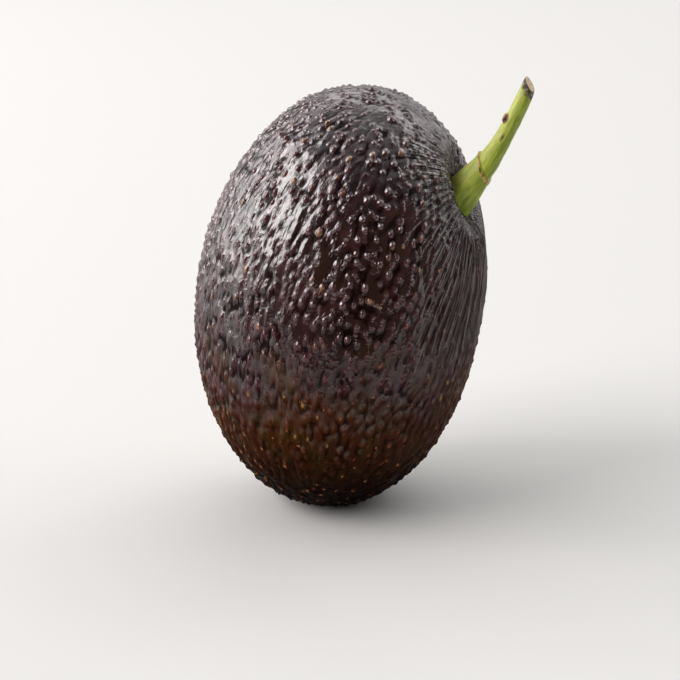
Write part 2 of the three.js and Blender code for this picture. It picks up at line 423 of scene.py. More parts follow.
def scattered(count, random, looseness):
    """Evenly spread unit directions with some disorder."""
    step = np.arange(count)
    height = 1 - 2 * (step + 0.5) / count
    turn = step * math.pi * (3 - math.sqrt(5))
    ring = np.sqrt(1 - height ** 2)
    even = np.stack([ring * np.cos(turn), ring * np.sin(turn), height], 1)
    spread = looseness * math.sqrt(4 * math.pi / count)
    return unit(even + random.normal(0, spread, (count, 3)))


class Skin:
    """The fruit's surface while its relief is worked out."""

    def __init__(self):
        self.directions, self.quads, self.flat = skin_lattice()
        self.points = cad_skin(self.directions, self.quads)
        self.normals = quad_normals(self.points, self.quads)
        self.flow = SkinFlow(self.directions, ROW_START)
        self.stalk_flow = SkinFlow(self.directions, DIMPLE)
        self.random = np.random.default_rng(SEED)
        self.near_point = point_tree(self.points)
        self.near_direction = point_tree(self.directions)

    def sites(self, count, looseness):
        """Different vertices spread evenly over the skin."""
        found = [self.near_direction.find(d)[1] for d in scattered(count, self.random, looseness)]
        return np.unique(found).tolist()

    def pebbles(self, sites, kind):
        """A pebble of one kind at each site, its sizes drawn from the kind's ranges."""
        return [dict(site=site, **{key: self.random.uniform(*kind[key]) for key in kind}) for site in sites]

    def around(self, pebble, reach):
        """Vertices within reach times a pebble's outline, and their place in it, which is 1 at its edge."""
        site, radius, stretch = pebble["site"], pebble["radius"] * MM, pebble["stretch"]
        found = self.near_point.find_range(self.points[site], radius * stretch * reach)
        found = np.array([index for _, index, _ in found])
        along = self.flow.along[site]
        across = np.cross(self.normals[site], along)
        offset = self.points[found] - self.points[site]
        return found, np.stack([offset @ along / (radius * stretch), offset @ across / radius], 1)

    def heaped(self, pebbles, blend):
        """Height of a field of pebbles, joined softly where they meet."""
        total = np.zeros(len(self.points))
        for pebble in pebbles:
            found, place = self.around(pebble, 1)
            dome = np.maximum(1 - (place ** 2).sum(1), 0) ** 2
            total[found] += (pebble["height"] * MM * dome) ** blend
        return total ** (1 / blend)


def point_tree(points):
    """A tree to look up the nearest of some points."""
    tree = kdtree.KDTree(len(points))
    for index, point in enumerate(points):
        tree.insert(point, index)
    tree.balance()
    return tree


def make_room(skin, pebbles):
    """Shrinks pebbles that would run into their nearest neighbour."""
    centres = skin.points[[pebble["site"] for pebble in pebbles]]
    tree = point_tree(centres)
    for pebble, centre in zip(pebbles, centres):
        room = NUB_SPACE * tree.find_n(centre, 2)[1][2] / MM / pebble["stretch"]
        share = min(1, room / pebble["radius"])
        pebble["radius"] *= share
        pebble["height"] *= share


def clear_sites(skin, sites, taken, clearance):
    """Those sites that keep a clearance from the taken ones."""
    tree = point_tree(skin.points[taken])
    return [site for site in sites if tree.find(skin.points[site])[2] > clearance]


def pebble_marks(skin, pebbles):
    """Each vertex's place in its nearest pebble with how much of one is there, and a tone."""
    nearest = np.full(len(skin.points), 9.0)
    marks = np.zeros((len(skin.points), 3))
    tones = np.zeros(len(skin.points))
    for pebble in pebbles:
        found, place = skin.around(pebble, MARK_REACH)
        share = np.hypot(*place.T)
        closer = share < nearest[found]
        found, place, share = found[closer], place[closer], share[closer]
        nearest[found] = share
        marks[found, :2] = place
        marks[found, 2] = pebble["radius"] * (1 - smooth_step(*MARK_EDGE, share))
        tones[found] = pebble["tone"]
    return marks, tones


def seam_gaps(skin, stones):
    """How far each vertex lies from the seam between its two nearest stones, as a share of a stone."""
    nearest = np.full(len(skin.points), 3.0)
    second = nearest.copy()
    for stone in stones:
        found, place = skin.around(stone, STONE_REACH)
        share = np.hypot(*place.T)
        closer = share < nearest[found]
        second[found] = np.where(closer, nearest[found], np.minimum(second[found], share))
        nearest[found] = np.where(closer, share, nearest[found])
    return second - nearest


def fold_weights(skin, from_stalk):
    """How strongly the skin is folded, all round the stalk and further down the right, and that side."""
    side = smooth_step(*FOLD_SIDE, unit(skin.points - DIMPLE) @ unit(FOLD_HEADING))
    reach = FOLD_REACH + FOLD_RUN * side
    return np.exp(-(from_stalk / reach) ** 2) * (1 - FOLD_SIDE_GAIN + FOLD_SIDE_GAIN * side), side


def skin_parts(skin):
    """How much each vertex belongs to the low end, the crown and the bare part of the skin."""
    height = skin.points[:, 2] / FRUIT_HIGH[2]
    crown = smooth_step(*CROWN, height)
    bare = smooth_step(*BARE_RISE, height) * smooth_step(*BARE_SIDE, skin.points[:, 0])
    low = 1 - smooth_step(*LOW_END, height)
    return dict(low=low, crown=crown, bare=np.maximum(bare, BARE_CROWN * crown))


def fit_to_place(pebbles, gains, parts):
    """Changes the sizes of pebbles by what they gain in the part of the skin they stand on."""
    for pebble in pebbles:
        for size, shares in gains.items():
            pebble[size] *= 1 + sum(share * parts[part][pebble["site"]] for part, share in shares.items())


def skin_pebbles(skin, parts):
    """The stones, the nub on each and the grains between, sized for where they stand."""
    sites = skin.sites(NUBS, NUB_DISORDER)
    stones = skin.pebbles(sites, STONE)
    nubs = skin.pebbles(sites, NUB)
    fit_to_place(nubs, NUB_GAINS, parts)
    fit_to_place(stones, STONE_GAINS, parts)
    make_room(skin, nubs)
    grain_sites = clear_sites(skin, skin.sites(GRAINS, GRAIN_DISORDER), sites, GRAIN_CLEARANCE)
    grains = skin.pebbles(grain_sites, GRAIN)
    fit_to_place(grains, GRAIN_GAINS, parts)
    for pebble in nubs + grains:
        # more corky tips at the low end, partly painted glints
        flecked = skin.random.uniform() < FLECKED + FLECKED_LOW * parts["low"][pebble["site"]]
        pebble["tone"] = skin.random.uniform(*FLECK_TONES) ** 1.5 if flecked else 0.0
    return stones, nubs, grains


def row_relief(skin, bare):
    """The pattern of plates in wavy rows, and the height of the plates and of the fine ridges on them."""
    wander = noise_at(skin.points / WANDER_SIZE)[:, None]
    fade = smooth_step(*ROW_FADE, skin.flow.width / GIRTH_RADIUS)
    rows = skin.flow.rows(ROWS, ROW_STRETCH) + ROW_WANDER * wander
    plates = noise_at(rows) * fade * (1 - BARE_PLATE_LOSS * bare)
    fine_rows = skin.flow.rows(FINE_ROWS, ROW_STRETCH) + FINE_ROW_WANDER * wander + 40
    ridges = 1 - np.abs(noise_at(fine_rows)) * FINE_ROW_SHARPNESS
    ridges = ridges * fade * (1 - BARE_LINE_LOSS * bare)
    terraces = PLATE_HEIGHT * (smooth_step(-PLATE_SLOPE, PLATE_SLOPE, plates) - 0.5)
    return plates, terraces + FINE_ROW_DEPTH * ridges


def seam_relief(skin, stones, from_stalk, parts):
    """How deep the seams between the stones are, where they are open."""
    seams = 1 - smooth_step(0, SEAM_WIDTH, seam_gaps(skin, stones))
    open_seams = smooth_step(*SEAM_OPEN, noise_at(skin.points / SEAM_PATCH + 3))
    open_seams *= smooth_step(*SEAM_START, from_stalk)
    open_seams *= (1 - SEAM_LOW_LOSS * parts["low"]) * (1 - BARE_LINE_LOSS * parts["bare"])
    return SEAM_DEPTH * seams * open_seams


def dent_relief(skin):
    """Wide dents, and some of half their size."""
    small = 0.5 * noise_at(skin.points / (DENT_SIZE / 2) + 7)
    return DENT_DEPTH * (noise_at(skin.points / DENT_SIZE) + small)


def fold_relief(skin, folded, from_stalk):
    """The folds that run out from the stalk."""
    wave = np.sin(FOLDS * skin.stalk_flow.turn + FOLD_WAVER * noise_at(skin.points / FOLD_WAVER_SIZE))
    return FOLD_DEPTH * wave * folded * smooth_step(*FOLD_START, from_stalk)


def hollows(skin, relief):
    """How far each vertex lies below the skin round it."""
    raised = skin.points + relief[:, None] * skin.normals
    evened = relaxed(raised, skin.quads, HOLLOW_PASSES)
    return ((evened - raised) * skin.normals).sum(1) / HOLLOW_DEPTH


def skin_relief(skin):
    """How far each skin vertex stands out, and what the skin's material reads."""
    from_stalk = np.linalg.norm(skin.points - DIMPLE, axis=1)
    parts = skin_parts(skin)
    folded, fold_side = fold_weights(skin, from_stalk)
    calm = smooth_step(CALM_START, 1, from_stalk / CALM_REACH)
    calm = calm * (1 - folded * (CALM_FOLDED + CALM_FOLD_SIDE * fold_side))

    stones, nubs, grains = skin_pebbles(skin, parts)
    plates, rows = row_relief(skin, parts["bare"])
    heaps = skin.heaped(stones, 3) + skin.heaped(nubs, 2) + skin.heaped(grains, 2)
    pebbled = heaps + rows - seam_relief(skin, stones, from_stalk, parts)
    relief = calm * (1 + LOW_GAIN * parts["low"]) * pebbled
    relief = relief + dent_relief(skin) + fold_relief(skin, folded, from_stalk) - SKIN_DROP

    marks, tones = pebble_marks(skin, nubs + grains)
    marks[:, 2] *= calm
    hollow = hollows(skin, relief)
    masks = dict(hollow=hollow, plate=plates, tone=tones, folded=folded, bare=parts["bare"])
    places = dict(
        pebble=marks,
        flow=skin.flow.rows(ROWS, ROW_STRETCH),
        folds=skin.stalk_flow.rows(FOLD_LINES, FOLD_LINE_STRETCH),
    )
    return relief, masks, places


def make_fruit():
    """The fruit's skin, with its pebbles as real relief."""
    skin = Skin()
    relief, masks, places = skin_relief(skin)
    points = skin.points + relief[:, None] * skin.normals
    points[:, 2] = np.maximum(points[:, 2], 0)
    piece = new_piece("avocado_skin", points, skin.quads.tolist(), skin_material())
    for name, values in masks.items():
        add_mask(piece, name, values)
    for name, values in places.items():
        add_points(piece, name, values)
    add_layout(piece, skin.flat)
    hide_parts("fruit")
    return piece


# ---- the stalk ----

def curve_through(points, samples):
    """A smooth line through points, with as many samples between each two."""
    points = np.array(points, float)
    padded = np.concatenate([[2 * points[0] - points[1]], points, [2 * points[-1] - points[-2]]])
    spans = []
    for a, b, c, d in zip(padded, padded[1:], padded[2:], padded[3:]):
        t = np.linspace(0, 1, samples, endpoint=False)[:, None]
        bend = (2 * a - 5 * b + 4 * c - d) * t ** 2
        twist = (3 * b - a - 3 * c + d) * t ** 3
        spans.append(0.5 * (2 * b + (c - a) * t + bend + twist))
    return np.concatenate(spans + [points[-1:]])


class Stalk:
    """The stalk's centre line and its radius, in millimetres along it."""

    def __init__(self):
        line = curve_through(STALK_LINE, 60)
        self.length = np.concatenate([[0], np.cumsum(np.linalg.norm(np.diff(line, axis=0), axis=1))])
        self.line = line
        self.slope = np.gradient(line, axis=0)
        self.slope /= np.linalg.norm(self.slope, axis=1)[:, None]
        out = np.array((math.cos(STALK_TURN), math.sin(STALK_TURN), 0))
        self.axes = out, np.array((0, 0, 1))
        self.side = np.array((out[1], -out[0], 0))
        profile = curve_through(STALK_PROFILE, 20)
        self.profile_along, self.profile_radius = profile.T

    def radius(self, along):
        """The plain radius at distances along it, in millimetres."""
        return np.interp(along, self.profile_along, self.profile_radius)

    def frame(self, along):
        """Centre of the stalk at distances along it, in metres, and the direction to its upper side."""
        place, slope = (
            sum(
                np.interp(along, self.length, column)[..., None] * axis
                for column, axis in zip(line.T, self.axes)
            )
            for line in (self.line, self.slope)
        )
        return DIMPLE + MM * place, np.cross(self.side, unit(slope))


def bark_noise(around, along, fineness, length, shift=0):
    """Noise on the stalk's surface, finer round it or drawn out along it."""
    place = np.concatenate([around * fineness, along[..., None] / length + shift], -1)
    return noise_at(place.reshape(-1, 3)).reshape(along.shape)


def scar_relief(bud, along, turn):
    """How far one bud scar stands out, and the mask of its brown face."""
    sideways = (turn - bud["round"] + math.pi) % (2 * math.pi) - math.pi
    lengthwise = (along - bud["along"]) / bud["length"]
    share = np.hypot(lengthwise, sideways * SCAR_RADIUS / bud["width"])
    face = np.hypot(lengthwise, (sideways - SCAR_SHIFT) * SCAR_RADIUS / bud["width"])
    swelling = bud["rise"] * (1 - smooth_step(*SCAR_SLOPE, share))
    pit = SCAR_PIT * bud["rise"] * np.exp(-(share / SCAR_PIT_SIZE) ** 2)
    return swelling - pit, 1 - smooth_step(*SCAR_FACE, face)


def stalk_relief(along, turn):
    """Unevenness of the stalk's surface in millimetres, and the masks that its material reads."""
    around = np.stack([np.cos(turn), np.sin(turn)], -1)
    ribs = bark_noise(around, along, 2.2, 9)
    lumps = bark_noise(around, along, 1.4, 2.2, shift=5)
    waver = RING_WAVER * bark_noise(around, along, 1.7, math.inf)
    ripple = RING_RIPPLE * bark_noise(around, along, 5.5, 1.25)
    ring_offset = along - RING_ALONG + (waver + ripple)
    ring = np.exp(-(ring_offset / RING_WIDTH) ** 2)
    groove = np.exp(-((ring_offset - GROOVE_OFFSET) / GROOVE_WIDTH) ** 2)
    crust = RING_HEIGHT * ring * (1 + RING_RAGGEDNESS * lumps)
    relief = RIB_HEIGHT * ribs + LUMP_HEIGHT * lumps + crust - GROOVE_DEPTH * groove
    scar = np.zeros(along.shape)
    for bud in BUD_SCARS:
        rise, face = scar_relief(bud, along, turn)
        relief += rise
        scar = np.maximum(scar, face)
    return relief, ring, scar


def stalk_tube(stalk, rings, turns, relief):
    """The stalk's surface as rings of points, slanting at the corky ring and towards the cut."""
    radius = stalk.radius(rings) + relief
    to_upper = radius * np.cos(turns)
    keel = KEEL * np.exp(-(rings / KEEL_REACH) ** 2) * np.minimum(to_upper / FOOT_RADIUS, 0)
    to_side = radius * np.sin(turns) * (1 + keel)
    slant = RING_SLANT * np.exp(-((rings - RING_ALONG) / RING_REACH) ** 2) * to_upper
    cut_slant = np.tan(TIP_SLANT) * smooth_step(CUT_START, TIP_LENGTH, rings) * to_upper
    centre, upper = stalk.frame(rings + slant + cut_slant)
    return centre + MM * (to_upper[..., None] * upper + to_side[..., None] * stalk.side)


def make_stalk():
    """The stalk with its corky ring, bud scars and slanting cut tip."""
    rings, turns = np.meshgrid(
        np.linspace(STALK_START, TIP_LENGTH, STALK_RINGS),
        np.linspace(0, 2 * math.pi, STALK_SIDES, endpoint=False),
        indexing="ij",
    )
    relief, ring, scar = stalk_relief(rings, turns)
    vertices, faces, extra, layout = closed_tube(stalk_tube(Stalk(), rings, turns, relief))
    dry = smooth_step(TIP_LENGTH - DRY_START, TIP_LENGTH - DRY_FULL, rings)
    # the upper side, where the stalk gets painted light
    lit_side = smooth_step(-0.2, 1, np.cos(turns - LIT_SIDE_TURN))
    cut = np.zeros(rings.shape)
    piece = new_piece("avocado_stalk", vertices, faces, stalk_material())
    for name, values, at_cut in (
        ("ring", ring, 0), ("scar", scar, 0), ("dry", dry, 1), ("cut", cut, 1), ("lit_side", lit_side, 0),
    ):
        add_mask(piece, name, spread_mask(values, extra, at_cut))
    add_layout(piece, layout)
    bark = np.stack([np.cos(turns) * BARK_TURNS, np.sin(turns) * BARK_TURNS, rings / BARK_LENGTH], -1)
    bark = bark.reshape(-1, 3)
    add_points(piece, "grain", np.concatenate([bark, np.zeros((len(vertices) - len(bark), 3))]))
    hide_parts("stem")
    return piece


def closed_tube(tube):
    """Vertices, faces and unrolled layout of a tube of rings, closed at both ends by narrowing rings."""
    rings, sides, _ = tube.shape
    caps = []
    for end in (tube[0], tube[-1]):
        middle = end.mean(0)
        caps.append([middle + (end - middle) * (1 - k / CAP_STEPS) for k in range(1, CAP_STEPS)])
    first_cap = range(rings, rings + CAP_STEPS - 1)
    last_cap = range(rings + CAP_STEPS - 1, rings + 2 * CAP_STEPS - 2)
    order = [*reversed(first_cap), *range(rings), *last_cap]
    middles = [tube[0].mean(0)], [tube[-1].mean(0)]
    vertices = np.concatenate([tube.reshape(-1, 3), *caps[0], *caps[1], *middles])
    faces, layout = [], []
    for row, (low, high) in enumerate(zip(order, order[1:]), 1):
        for k in range(sides):
            j = (k + 1) % sides
            faces.append((low * sides + k, high * sides + k, high * sides + j, low * sides + j))
            layout += [(k, row), (k, row + 1), (k + 1, row + 1), (k + 1, row)]
    foot, tip, top_row = len(vertices) - 2, len(vertices) - 1, len(order) + 1
    for k in range(sides):
        j = (k + 1) % sides
        faces.append((foot, order[0] * sides + k, order[0] * sides + j))
        layout += [(k + 0.5, 0), (k, 1), (k + 1, 1)]
        faces.append((tip, order[-1] * sides + j, order[-1] * sides + k))
        layout += [(k + 0.5, top_row), (k + 1, top_row - 1), (k, top_row - 1)]
    extra = (CAP_STEPS - 1) * sides
    return vertices, faces, extra, np.array(layout) / (sides, top_row)


def spread_mask(values, extra, at_cut):
    """A mask on the tube, with 0 on the foot cap and one value on the cap at the cut."""
    return np.concatenate([values.ravel(), np.zeros(extra), np.full(extra, at_cut), [0, at_cut]])


# ---- materials ----

class Nodes:
    """Short calls for building one material or node group."""

    def __init__(self, tree):
        self.tree = tree

    def add(self, kind, inputs=None, **settings):
        """A new node with its settings and inputs."""
        node = self.tree.nodes.new(kind)
        for key, value in settings.items():
            setattr(node, key, value)
        for key, value in (inputs or {}).items():
            self.feed(node.inputs[key], value)
        return node

    def feed(self, socket, value):
        """Links a node or socket to an input, or sets the input to a plain value."""
        if isinstance(value, bpy.types.NodeSocket):
            self.tree.links.new(value, socket)
        elif isinstance(value, bpy.types.Node):
            self.tree.links.new(value.outputs[0], socket)
        else:
            socket.default_value = value

    def mask(self, name):
        """A number stored on the mesh."""
        return self.add("ShaderNodeAttribute", attribute_name=name).outputs["Fac"]

    def point(self, name):
        """A point stored on the mesh."""
        return self.add("ShaderNodeAttribute", attribute_name=name).outputs["Vector"]

    def place(self):
        """Where on the object, in metres."""
        return self.add("ShaderNodeTexCoord").outputs["Object"]

    def math(self, operation, a, b=0.0):
        node = self.add("ShaderNodeMath", operation=operation)
        self.feed(node.inputs[0], a)
        self.feed(node.inputs[1], b)
        return node.outputs[0]

    def times(self, a, b):
        return self.math("MULTIPLY", a, b)

    def plus(self, a, b):
        return self.math("ADD", a, b)

    def without(self, value, share=None):
        """1 less a value, or less a share of it."""
        return self.math("SUBTRACT", 1.0, value if share is None else self.times(value, share))

    def noise(self, place, scale, detail):
        """Plain noise in 0..1."""
        node = self.add("ShaderNodeTexNoise", {"Vector": place, "Scale": scale, "Detail": detail})
        return node.outputs["Fac"]

    def ramp(self, value, low, high):
        """0 where value is low or less, 1 where it is high or more."""
        node = self.add("ShaderNodeMapRange", {"Value": value, "From Min": low, "From Max": high})
        node.interpolation_type = "SMOOTHSTEP"
        return node.outputs["Result"]

    def span(self, value, low, high, start=0.0, end=1.0):
        """A value between start and end, spread evenly from low to high."""
        inputs = {"Value": value, "From Min": start, "From Max": end, "To Min": low, "To Max": high}
        return self.add("ShaderNodeMapRange", inputs).outputs["Result"]

    def mix(self, factor, a, b):
        """Colour a where the factor is 0 and b where it is 1."""
        node = self.add("ShaderNodeMix", data_type="RGBA")
        self.feed(node.inputs["Factor"], factor)
        self.feed(node.inputs["A"], a if not isinstance(a, tuple) else (*a, 1))
        self.feed(node.inputs["B"], b if not isinstance(b, tuple) else (*b, 1))
        return node.outputs["Result"]

    def bump(self, height):
        """A normal from a height in metres."""
        return self.add("ShaderNodeBump", {"Strength": 1.0, "Distance": 1.0, "Height": height})


def node_group(name, inputs, outputs):
    """An empty shader node group, its helper, inputs and outputs. An input without a value is a vector."""
    group = bpy.data.node_groups.new(name, "ShaderNodeTree")
    for socket, default in inputs.items():
        kind = "NodeSocketVector" if default is None else "NodeSocketFloat"
        made = group.interface.new_socket(name=socket, in_out="INPUT", socket_type=kind)
        if default is not None:
            made.default_value = default
    for socket in outputs:
        group.interface.new_socket(name=socket, in_out="OUTPUT", socket_type="NodeSocketFloat")
    nodes = Nodes(group)
    return group, nodes, nodes.add("NodeGroupInput").outputs, nodes.add("NodeGroupOutput").inputs


def blotch_group():
    """Soft-edged blotches: a mask in 0..1 from noise at a place."""
    sockets = {"Place": None, "Scale": 100.0, "Detail": 3.0, "Low": 0.4, "High": 0.6}
    group, nodes, given, out = node_group("blotches", sockets, ["Mask"])
    cloud = nodes.noise(given["Place"], given["Scale"], given["Detail"])
    nodes.feed(out["Mask"], nodes.ramp(cloud, given["Low"], given["High"]))
    return group


def grain_group():
    """Fine surface grain: a height from two sizes of noise."""
    sockets = {"Place": None, "Coarse": 800.0, "Fine": 2500.0, "Share": 0.4}
    group, nodes, given, out = node_group("fine_grain", sockets, ["Height"])
    coarse, fine = (nodes.noise(given["Place"], given[size], 2.0) for size in ("Coarse", "Fine"))
    nodes.feed(out["Height"], nodes.plus(coarse, nodes.times(fine, given["Share"])))
    return group


GROUPS = {}


def use_group(nodes, build, inputs):
    """Places a shared group in a material, building it the first time."""
    if build not in GROUPS:
        GROUPS[build] = build()
    return nodes.add("ShaderNodeGroup", inputs, node_tree=GROUPS[build]).outputs[0]


def blotches(nodes, place, scale, low, high, detail=3.0):
    """Soft-edged blotches in a material."""
    inputs = {"Place": place, "Scale": scale, "Detail": detail, "Low": low, "High": high}
    return use_group(nodes, blotch_group, inputs)


def fine_grain(nodes, place, coarse, fine):
    """Fine surface grain in a material."""
    return use_group(nodes, grain_group, {"Place": place, "Coarse": coarse, "Fine": fine})


def new_material(name):
    """A material with its nodes helper and its Principled shader's inputs."""
    material = bpy.data.materials.new(name)
    material.use_nodes = True
    return material, Nodes(material.node_tree), material.node_tree.nodes["Principled BSDF"].inputs


def set_ramp(node, stops):
    """Sets a colour ramp's stops."""
    ramp = node.color_ramp
    while len(ramp.elements) < len(stops):
        ramp.elements.new(0.5)
    for element, (position, colour) in zip(ramp.elements, stops):
        element.position = position
        element.color = (*colour, 1)


class SkinFinish:
    """The fruit's finish in its parts, and what they share: where the pebbles, folds and hollows are."""

    def __init__(self, nodes):
        self.nodes = nodes
        self.place = nodes.place()
        self.height = nodes.add("ShaderNodeSeparateXYZ", {"Vector": self.place}).outputs["Z"]
        self.folded = nodes.mask("folded")
        pebble = nodes.add("ShaderNodeSeparateXYZ", {"Vector": nodes.point("pebble")}).outputs
        flat = nodes.add("ShaderNodeCombineXYZ", {"X": pebble["X"], "Y": pebble["Y"]})
        self.amount = nodes.times(pebble["Z"], 1.2)
        length = nodes.add("ShaderNodeVectorMath", {"Vector": flat}, operation="LENGTH")
        self.reach = length.outputs["Value"]
        self.rough = nodes.math("SUBTRACT", nodes.noise(self.place, 1500.0, 3.0), 0.5)
        self.jag = nodes.times(self.rough, 0.5)
        self.hollow = nodes.plus(nodes.mask("hollow"), self.jag)
        self.lines = nodes.noise(nodes.point("folds"), 1.0, 1.0)
        self.below = self.brown_end_and_warm_reflection()
        # painted shade in the hollows and creases, also where the wax is taken off
        self.dark = self.painted_hollow_shade()
        self.speck, self.speck_colour = self.corky_tips()

    def brown_end_and_warm_reflection(self):
        """Where the skin is brown instead of purple, partly its own colour and partly painted warm reflected
        light from below, with a wandering edge.
        """
        edge = blotches(self.nodes, self.place, 70.0, 0.2, 0.8, detail=6.0)
        level = self.nodes.plus(self.height, self.nodes.times(edge, BROWN_WANDER))
        return self.nodes.ramp(level, BROWN_START, BROWN_FULL)

    def painted_hollow_shade(self):
        """How much painted shade darkens the skin, and how unwaxed it is, in the hollows and the creases
        between folds.
        """
        nodes = self.nodes
        creased = nodes.ramp(self.folded, 0.1, 0.6)
        crease = nodes.times(nodes.ramp(self.lines, 0.52, 0.36), creased)
        # painted shade: darker in the hollows, less on the brown end and on the folds, and half as dark in
        # the creases
        dark = nodes.times(nodes.ramp(self.hollow, 0.0, 0.9), 0.93)
        dark = nodes.times(dark, nodes.without(self.below, 0.25))
        dark = nodes.times(dark, nodes.without(self.folded, 0.5))
        return nodes.math("MAXIMUM", dark, nodes.times(crease, 0.5))

    def corky_tips(self):
        """Where the ragged corky tips of the pebbles are, and their colours."""
        nodes = self.nodes
        tone = nodes.mask("tone")
        colours = nodes.add("ShaderNodeValToRGB", {"Fac": tone})
        set_ramp(colours, TIP_TONES)
        ragged = nodes.plus(self.reach, nodes.times(self.rough, 1.4))
        speck = nodes.times(nodes.ramp(ragged, 0.8, 0.3), nodes.ramp(tone, 0.08, 0.14))
        return nodes.times(speck, nodes.ramp(self.amount, 0.25, 0.45)), colours.outputs["Color"]

    def ground(self):
        """Dusky purple with wine-red nubs, brown and olive below, partly painted warm reflected light, and a
        painted sheen on the folds.
        """
        nodes = self.nodes
        colour = nodes.mix(blotches(nodes, self.place, 140.0, 0.42, 0.62), NIGHT, DUSK)
        wine = nodes.times(nodes.ramp(self.reach, 1.0, 0.55), nodes.math("MINIMUM", self.amount, 1.0))
        colour = nodes.mix(nodes.times(wine, 0.8), colour, WINE)
        earth = nodes.mix(blotches(nodes, self.place, 220.0, 0.45, 0.65), EARTH, OLIVE)
        colour = nodes.mix(nodes.times(self.below, 0.9), colour, earth)
        # painted sheen on the folds
        return nodes.mix(nodes.times(self.folded, 0.65), colour, FOLD_SHEEN)

    def colour(self):
        """The ground with painted highlights on its rises, painted shade in the hollows and on the
        underside, and corky tips.
        """
        nodes = self.nodes
        # painted highlight on the rises of the brown end
        rise_highlight = nodes.times(nodes.ramp(self.hollow, -0.2, -1.6), nodes.times(self.below, 0.35))
        colour = nodes.mix(rise_highlight, self.ground(), RISE_HIGHLIGHT)
        # painted shade in the hollows and creases
        colour = nodes.mix(self.dark, colour, CREVICE_SHADE)
        # painted shade on the underside, darker towards the bottom
        colour = nodes.mix(nodes.ramp(self.height, SHADE_START, SHADE_FULL), colour, UNDERSIDE_SHADE)
        return nodes.mix(self.speck, colour, self.speck_colour)

    def streaks(self):
        """The height of streaks along the rows, with flakes on them."""
        streak = self.nodes.noise(self.nodes.point("flow"), 2.1, 2.0)
        flake = self.nodes.times(self.nodes.ramp(streak, 0.45, 0.55), FLAKE_HEIGHT)
        return self.nodes.plus(flake, self.nodes.times(streak, STREAK_HEIGHT))

    def pimples(self):
        """The height of small round pimples."""
        nodes = self.nodes
        cells = nodes.add("ShaderNodeTexVoronoi", {"Vector": self.place, "Scale": 520.0}, feature="F1")
        return nodes.times(nodes.ramp(cells.outputs["Distance"], 0.4, 0.05), PIMPLE_HEIGHT)

    def plate_edges(self):
        """The height of the steps along the plates' edges."""
        edges = self.nodes.plus(self.nodes.mask("plate"), self.jag)
        return self.nodes.times(self.nodes.ramp(edges, -0.09, 0.09), PLATE_EDGE)

    def bump(self):
        """The normal with all the relief that is finer than the mesh."""
        nodes = self.nodes
        smoother = nodes.without(nodes.mask("bare"), BARE_SMOOTHING)
        dome = nodes.times(nodes.ramp(self.reach, 1.0, 0.0), nodes.times(self.amount, NUB_TIP))
        streaks = nodes.times(self.streaks(), smoother)
        pimples = nodes.times(self.pimples(), smoother)
        grain = nodes.times(fine_grain(nodes, self.place, 1100.0, 3200.0), SKIN_GRAIN_HEIGHT)
        edges = nodes.times(self.plate_edges(), smoother)
        lines = nodes.times(nodes.times(self.lines, self.folded), FOLD_LINE_HEIGHT)
        total = nodes.plus(nodes.plus(dome, streaks), nodes.plus(pimples, grain))
        return nodes.bump(nodes.plus(nodes.plus(total, edges), lines))

    def roughness(self):
        """Uneven under the wax, and duller on the corky tips."""
        wax = self.nodes.span(blotches(self.nodes, self.place, 320.0, 0.3, 0.7), 0.34, 0.45)
        return self.nodes.plus(wax, self.nodes.times(self.speck, 0.15))

    def wax(self):
        """The shine's weight: none in the hollows or facing down, less on the brown end."""
        nodes = self.nodes
        facing = nodes.add("ShaderNodeNewGeometry").outputs["Normal"]
        facing = nodes.add("ShaderNodeSeparateXYZ", {"Vector": facing}).outputs["Z"]
        waxed = nodes.times(nodes.span(facing, 0.0, 1.0, -0.3, 0.3), nodes.without(self.below, 0.35))
        return nodes.times(waxed, nodes.without(self.dark))


def skin_material():
    """Waxy, nearly black purple skin, wine on the nubs, brown below, partly painted warm reflected light,
    with corky flecks and painted shade, highlights and sheen.
    """
    material, nodes, shader = new_material("avocado_skin")
    finish = SkinFinish(nodes)
    bump = finish.bump()
    nodes.feed(shader["Base Color"], finish.colour())
    nodes.feed(shader["Roughness"], finish.roughness())
    nodes.feed(shader["Normal"], bump)
    nodes.feed(shader["Coat Normal"], bump)
    nodes.feed(shader["Coat Weight"], finish.wax())
    shader["Coat Roughness"].default_value = 0.2
    shader["Coat IOR"].default_value = 2.3
    shader["Specular IOR Level"].default_value = 0.01
    return material


def stalk_greens(nodes, streak, pale):
    """Streaked green, with painted light on the upper side and painted shade underneath."""
    lit_side = nodes.mask("lit_side")
    # painted light on the upper side, streaked, and painted shade underneath
    painted_light = nodes.times(lit_side, nodes.plus(nodes.times(pale, 0.7), 0.28))
    painted_shade = nodes.times(nodes.ramp(lit_side, 0.12, 0.0), 0.3)
    colour = nodes.mix(painted_light, nodes.mix(streak, *GREENS), PAINTED_LIGHT_GREEN)
    return nodes.mix(painted_shade, colour, PAINTED_SHADE_GREEN)


def stalk_marks(nodes, place, colour):
    """The corky ring, the bud scars, the dried rim and the cut wood over the green."""
    patch = blotches(nodes, place, 1100.0, 0.35, 0.6)
    fibre = blotches(nodes, place, 2200.0, 0.3, 0.7)
    colour = nodes.mix(nodes.ramp(nodes.mask("ring"), 0.25, 0.75), colour, nodes.mix(patch, *CORK))
    colour = nodes.mix(nodes.mask("scar"), colour, nodes.mix(patch, *SCAR_BROWNS))
    dry = nodes.times(nodes.mask("dry"), nodes.plus(nodes.times(patch, 0.5), 0.6))
    colour = nodes.mix(nodes.ramp(dry, 0.25, 0.8), colour, nodes.mix(patch, *DRIED))
    return nodes.mix(nodes.mask("cut"), colour, nodes.mix(fibre, *CUT_WOOD))


